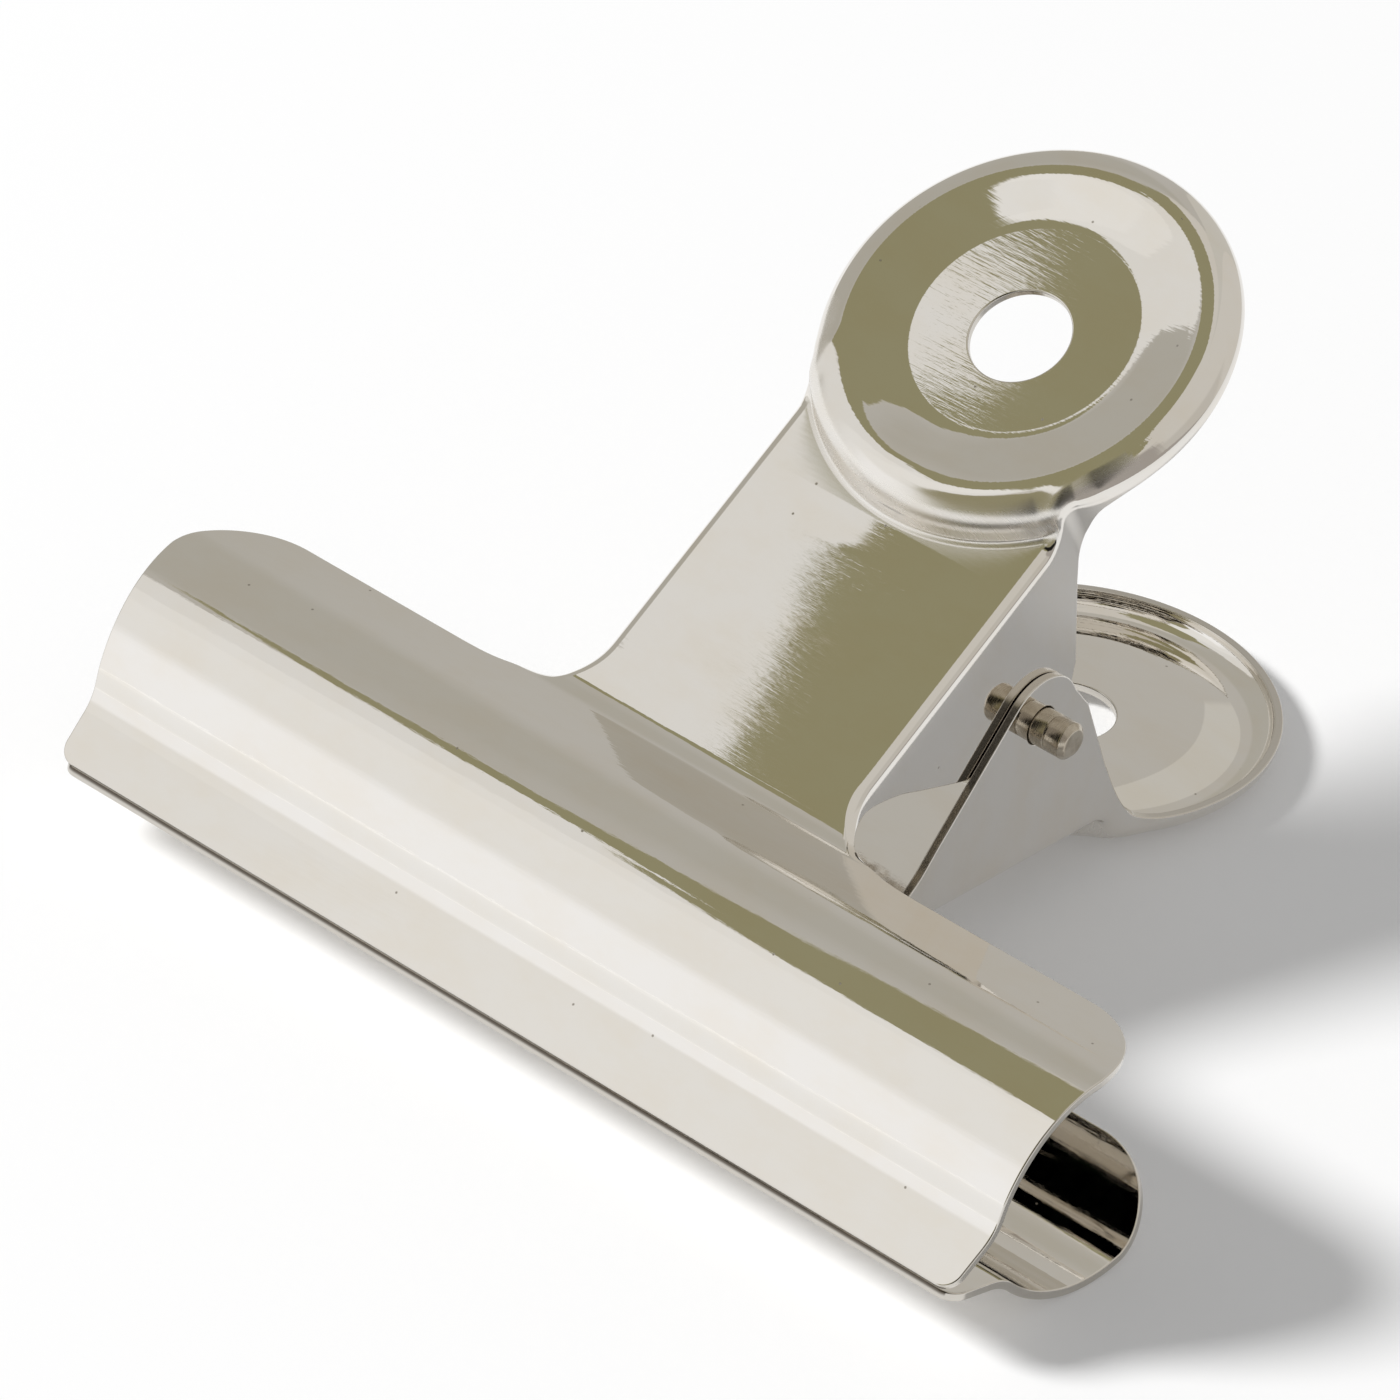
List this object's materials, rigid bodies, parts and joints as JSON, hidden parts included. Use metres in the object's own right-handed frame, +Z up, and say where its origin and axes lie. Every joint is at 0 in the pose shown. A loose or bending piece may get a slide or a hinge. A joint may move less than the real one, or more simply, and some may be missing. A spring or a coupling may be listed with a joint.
{
  "type": "bulldog clip",
  "caption": "Steel paper clip with long curved spring jaws, folded hinge ears on a cross pin, a torsion spring and round dished thumb rings with hanging holes.",
  "frame": {"origin": "centre of the closed clip's outline, on the table that it lies on", "axes": "+X along the jaws, +Y from the lips back to the thumb rings, +Z up"},
  "size_m": [0.07, 0.063, 0.0378],
  "materials": {
    "plated_sheet": "bright nickel plate over fine rolling grain",
    "pin_steel": "plain drawn steel",
    "spring_wire": "bright drawn wire"
  },
  "bodies": {
    "lower": {"lower_jaw": "plated_sheet", "pivot_pin": "pin_steel", "torsion_spring": "spring_wire"},
    "upper": {"upper_jaw": "plated_sheet"}
  },
  "joints": [
    {"name": "jaw_hinge", "type": "hinge", "parent": "lower", "child": "upper", "pos_m": [0, 0.0031, 0.01328], "axis": [-1, 0, 0], "range_deg": [0, 72], "stiffness_Nm_per_rad": 0.206, "springref_deg": -68.75, "deforming": ["torsion_spring"]}
  ]
}
